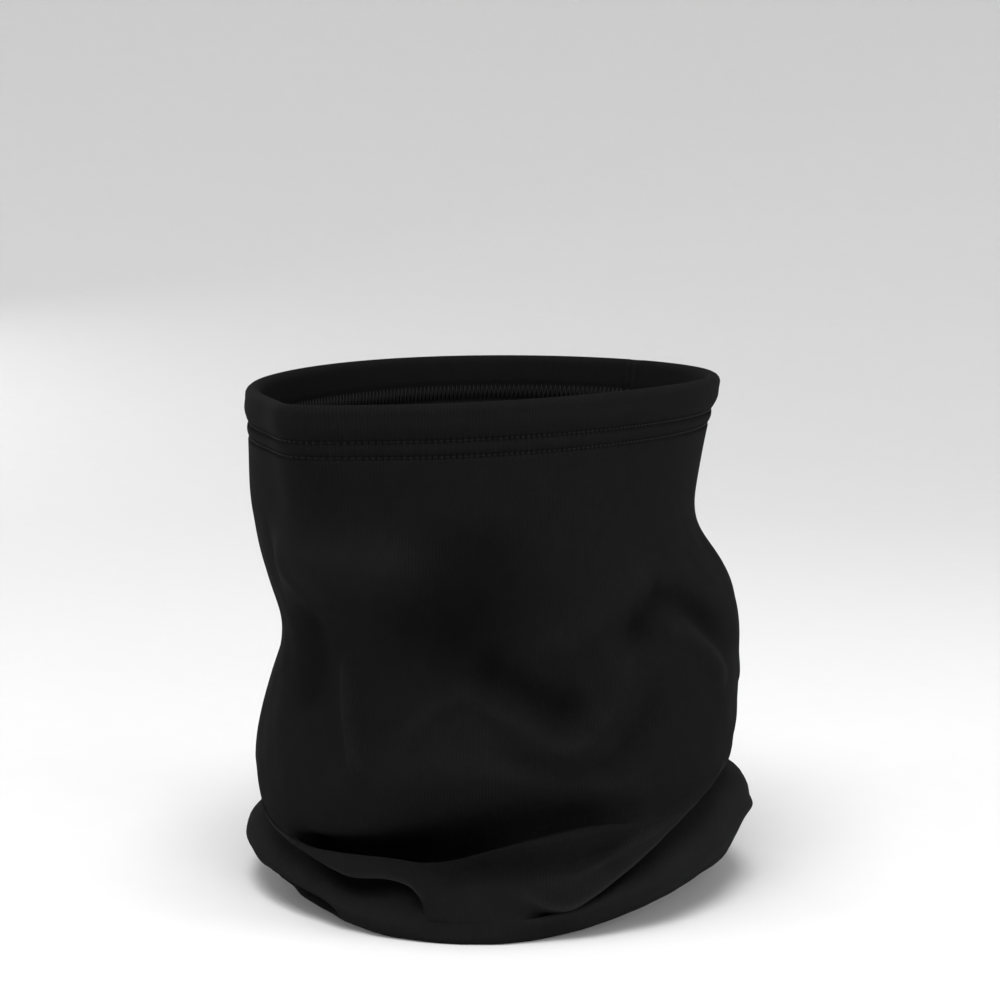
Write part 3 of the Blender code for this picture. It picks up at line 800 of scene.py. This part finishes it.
def add_looper(name, stitches, from_end, thread):
    """The looper thread's zigzag between the two needle rows, on the inside of the hem."""
    angles = column_angles(stitches * POINTS_PER_STITCH)
    swing = np.arange(len(angles)) % POINTS_PER_STITCH
    upper, lower = rows_at_length(angles, NEEDLE_ROWS, from_end)
    rows = upper + (lower - upper) * LOOPER_SWING[swing]
    depth = 2 * HEM_ROLL_RADIUS + LOOPER_THREAD_RADIUS + LOOPER_LIFT[swing] * MM
    points = cloth_points(angles, rows[None, :], depth[None, :, None])[0]
    return add_thread(name, points, LOOPER_THREAD_RADIUS, True, thread)


def spaced_rows(spacing):
    """Rows down the tube, no further apart than the given spacing of cloth."""
    angles = column_angles(SAMPLE_COLUMNS)
    fine = np.linspace(*EVEN_ROWS, SAMPLE_ROWS)
    points = knit_face(angles, np.repeat(fine[:, None], len(angles), axis=1))
    steps = np.linalg.norm(np.diff(points, axis=0), axis=-1).max(axis=1)
    run = np.concatenate([[0], np.cumsum(steps)])
    return np.interp(np.linspace(0, run[-1], int(run[-1] / spacing) + 1), run, fine)


def tube_rows(angles, spacing):
    """Rows from the edge of the top hem to the edge of the bottom hem: (row, angle)."""
    top = rows_at_length(angles, [JOIN], False)
    bottom = rows_at_length(angles, [JOIN], True)
    middle = np.repeat(spaced_rows(spacing)[:, None], len(angles), axis=1)
    steps = max(int(LEAD_LENGTH / spacing), 3)
    lead = top + (middle[0] - top) * np.linspace(0, 1, steps, endpoint=False)[:, None]
    tail = middle[-1] + (bottom - middle[-1]) * np.linspace(0, 1, steps)[1:, None]
    return np.concatenate([lead, middle, tail])


def add_cloth(name, spacing, depth, thickness, material):
    """One layer of the tube's cloth between the two hems."""
    angles = column_angles(TUBE_COLUMNS)
    rows = tube_rows(angles, spacing)
    outside = cloth_points(angles, rows, depth * pressed(rows))
    along = JOIN + cloth_lengths(outside)
    # Painted shade and light for the knit's colour
    painted_light_and_shade = compute_painted_light_and_shade(angles, rows)
    # The side that no one sees needs only every other row
    kept = np.unique(np.append(np.arange(0, len(rows), 2), len(rows) - 1))[::-1]
    inside = cloth_points(angles, rows[kept], (depth + thickness) * pressed(rows[kept]))
    points = np.concatenate([outside, inside])
    cloth = add_shell(name, points, np.concatenate([along, along[kept]]), material)
    store_painted_light_and_shade(cloth, np.concatenate([painted_light_and_shade, painted_light_and_shade[kept]]))
    return cloth


def seam_route(side, count):
    """Points down the inside of the back, to one side of the seam's middle."""
    fine = np.linspace(1.2, LIP_ROW + 2, SEAM_SAMPLES)
    points = cloth_points(np.array([math.pi]), fine, SEAM_DEPTH)[:, 0] + np.array([side, 0, 0])
    heights = np.linspace(SEAM_HEIGHTS[1], SEAM_HEIGHTS[0], count)
    order = np.argsort(points[:, 2])
    return np.column_stack([np.interp(heights, points[order, 2], points[order, axis])
                            for axis in range(3)])


def add_back_seam(fleece):
    """The two seam allowances, pressed together inside the back."""
    middle = seam_route(0.0, SEAM_POINTS)
    turn = np.linspace(0, 2 * math.pi, SEAM_SIDES, endpoint=False)
    # Two soft layers: a rounded bar, thinner along its middle
    across = np.sign(np.cos(turn)) * np.abs(np.cos(turn)) ** 0.6 * SEAM_WIDTH / 2
    through = np.sign(np.sin(turn)) * np.abs(np.sin(turn)) ** 0.7 * SEAM_THICKNESS / 2
    through = through * (1 - 0.25 * bell(across, 0.8 * MM))
    points = middle[:, None, :] + np.stack([across, through, 0 * across], axis=-1)[None]
    points[..., 0] += SEAM_WAVE * np.sin(np.arange(SEAM_POINTS) * 0.55)[:, None]
    faces = []
    for start in range(0, (SEAM_POINTS - 1) * SEAM_SIDES, SEAM_SIDES):
        for side in range(SEAM_SIDES):
            here, there = start + side, start + (side + 1) % SEAM_SIDES
            faces.append((here, here + SEAM_SIDES, there + SEAM_SIDES, there))
    first, last = range(SEAM_SIDES), range((SEAM_POINTS - 1) * SEAM_SIDES, SEAM_POINTS * SEAM_SIDES)
    faces += [tuple(first), tuple(last)[::-1]]
    mesh = bpy.data.meshes.new("back_seam")
    mesh.from_pydata(points.reshape(-1, 3).tolist(), [], faces)
    mesh.shade_smooth()
    return place_piece("back_seam", mesh, fleece)


def add_overlock(thread):
    """Overlock thread wrapped round the seam's free edge."""
    count = OVERLOCK_TURNS * OVERLOCK_STEPS
    middle = seam_route(-SEAM_WIDTH / 2 + OVERLOCK_BITE, count)
    spin = np.arange(count) * 2 * math.pi / OVERLOCK_STEPS
    reach = OVERLOCK_BITE + 2 * OVERLOCK_THREAD_RADIUS
    half = SEAM_THICKNESS / 2 + OVERLOCK_THREAD_RADIUS
    offset = np.column_stack([-reach * np.cos(spin), half * np.sin(spin), 0 * spin])
    curve = add_thread("overlock_curve", middle + offset, OVERLOCK_THREAD_RADIUS, False, thread)
    bpy.context.view_layer.update()
    graph = bpy.context.evaluated_depsgraph_get()
    mesh = bpy.data.meshes.new_from_object(curve.evaluated_get(graph))
    bpy.data.objects.remove(curve)
    mesh.materials.clear()
    return place_piece("overlock_thread", mesh, thread)


def add_label(ribbon):
    """A blank woven label, sewn at one edge beside the back seam and curling a little."""
    low, high = (np.array(corner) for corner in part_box("care_label"))
    length, height = high[0] - low[0], LABEL_SIZE[1]
    columns, rows = LABEL_GRID
    across, up = np.meshgrid(np.linspace(0, 1, columns + 1), np.linspace(-0.5, 0.5, rows + 1))
    curl = LABEL_CURL * np.sin(math.pi * across) * (1 - 2 * up ** 2)
    sewn_edge = high[1] - LABEL_THICKNESS / 2
    slope = low[1] - high[1] + LABEL_THICKNESS
    middle = np.stack([low[0] + length * across, sewn_edge + slope * across - curl,
                       (low[2] + high[2]) / 2 + height * up], axis=-1).reshape(-1, 3)
    half = np.array([0, LABEL_THICKNESS / 2, 0])
    count = (rows + 1) * (columns + 1)
    faces = []
    for row in range(rows):
        for column in range(columns):
            a = row * (columns + 1) + column
            b, c, d = a + 1, a + columns + 2, a + columns + 1
            faces += [(a, b, c, d), (count + a, count + d, count + c, count + b)]
    rim = list(range(columns + 1))
    rim += [row * (columns + 1) + columns for row in range(1, rows + 1)]
    rim += [rows * (columns + 1) + column for column in range(columns - 1, -1, -1)]
    rim += [row * (columns + 1) for row in range(rows - 1, 0, -1)]
    for here, there in zip(rim, rim[1:] + rim[:1]):
        faces.append((there, here, count + here, count + there))
    mesh = bpy.data.meshes.new("woven_label")
    mesh.from_pydata(np.concatenate([middle - half, middle + half]).tolist(), [], faces)
    mesh.shade_smooth()
    mesh.set_sharp_from_angle(angle=math.radians(50))
    return place_piece("woven_label", mesh, ribbon)


def add_floor():
    """A round cove, so that every view has the same plain pale background."""
    profile = [(COVE_FLOOR_RADIUS * share, 0.0) for share in (0.25, 0.5, 0.75, 1.0)]
    for turn in np.linspace(0, math.pi / 2, 13)[1:]:
        profile.append((COVE_FLOOR_RADIUS + COVE_CURVE_RADIUS * math.sin(turn),
                        COVE_CURVE_RADIUS * (1 - math.cos(turn))))
    profile.append((profile[-1][0], COVE_WALL_HEIGHT))
    corners = [(0.0, 0.0, 0.0)]
    for radius, height in profile:
        for turn in np.linspace(0, 2 * math.pi, COVE_COLUMNS, endpoint=False):
            corners.append((radius * math.cos(turn), radius * math.sin(turn), height))
    faces = []
    for column in range(COVE_COLUMNS):
        here, there = 1 + column, 1 + (column + 1) % COVE_COLUMNS
        faces.append((0, here, there))
        for start in range(0, (len(profile) - 1) * COVE_COLUMNS, COVE_COLUMNS):
            above = start + COVE_COLUMNS
            faces.append((start + here, above + here, above + there, start + there))
    mesh = bpy.data.meshes.new("studio_floor")
    mesh.from_pydata(corners, [], faces)
    mesh.shade_smooth()
    mesh.materials.append(floor_material())
    floor = bpy.data.objects.new("studio_floor", mesh)
    bpy.context.scene.collection.objects.link(floor)


def add_lights():
    """Soft boxes aimed at the object, and an even white world."""
    for name, azimuth, distance, height, size, power in SOFT_BOXES:
        light = bpy.data.lights.new(name, "AREA")
        light.shape = "SQUARE"
        light.size = size
        light.energy = power
        lamp = bpy.data.objects.new(name, light)
        turn = math.radians(azimuth)
        lamp.location = (distance * math.sin(turn), -distance * math.cos(turn), height)
        aim = Vector(LIGHT_TARGET) - lamp.location
        lamp.rotation_euler = aim.to_track_quat("-Z", "Y").to_euler()
        bpy.context.scene.collection.objects.link(lamp)
    world = bpy.data.worlds.new("studio")
    world.use_nodes = True
    background = world.node_tree.nodes["Background"]
    background.inputs["Color"].default_value = (1, 1, 1, 1)
    background.inputs["Strength"].default_value = WORLD_STRENGTH
    bpy.context.scene.world = world


def add_camera():
    """The camera, in front of the object and to its side."""
    data = bpy.data.cameras.new("camera")
    data.lens = CAMERA_LENS
    data.sensor_width = 36
    camera = bpy.data.objects.new("camera", data)
    camera.location = (AXIS[0] + CAMERA_DISTANCE * math.sin(CAMERA_AZIMUTH),
                       AXIS[1] - CAMERA_DISTANCE * math.cos(CAMERA_AZIMUTH), CAMERA_HEIGHT)
    camera.rotation_euler = (math.pi / 2 - CAMERA_PITCH, 0, CAMERA_AZIMUTH + CAMERA_YAW)
    bpy.context.scene.collection.objects.link(camera)
    bpy.context.scene.camera = camera


def main():
    """The studio, and every piece of the object on its body."""
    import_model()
    add_camera()
    add_lights()
    add_floor()
    bpy.context.scene.view_settings.view_transform = "Standard"
    knit, fleece = knit_material(), fleece_material()
    thread, ribbon = thread_material(), ribbon_material()

    tube_knit = add_cloth("tube_knit_face", ROW_SPACING, 0.0, KNIT_THICKNESS, knit)
    tube_fleece = add_cloth("tube_fleece_back", FLEECE_ROW_SPACING, KNIT_THICKNESS + LAYER_GAP,
                            FLEECE_THICKNESS, fleece)
    seam = add_back_seam(fleece)
    overlock = add_overlock(thread)
    for piece in (tube_knit, tube_fleece, seam, overlock):
        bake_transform(piece)
    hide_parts("lower_tube_knit", "upper_tube_knit", "turned_under_knit")
    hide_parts("lower_tube_fleece", "upper_tube_fleece", "turned_under_fleece")
    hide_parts("lower_back_seam", "upper_back_seam")
    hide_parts("lower_overlock_thread", "upper_overlock_thread")

    for prefix, stitches, from_end, body, held in (
            ("top", TOP_STITCHES, False, "top_band", "stretched"),
            ("bottom", BOTTOM_STITCHES, True, "tube", "gathered")):
        face, inside = add_hem(prefix, stitches, from_end, knit, fleece)
        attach(face, body)
        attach(inside, body)
        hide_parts(prefix + "_hem_knit")
        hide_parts(prefix + "_hem_fleece")
        for number, length in enumerate(NEEDLE_ROWS, start=1):
            row = add_needle_row(f"{prefix}_stitches_{number}", length, stitches, from_end, thread)
            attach(row, body)
            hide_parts(f"{prefix}_needle_thread_{number}")
        looper = add_looper(prefix + "_looper", stitches, from_end, thread)
        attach(looper, body)
        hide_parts(prefix + "_looper_thread")

    label = add_label(ribbon)
    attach(label, "label")
    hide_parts("care_label")


main()
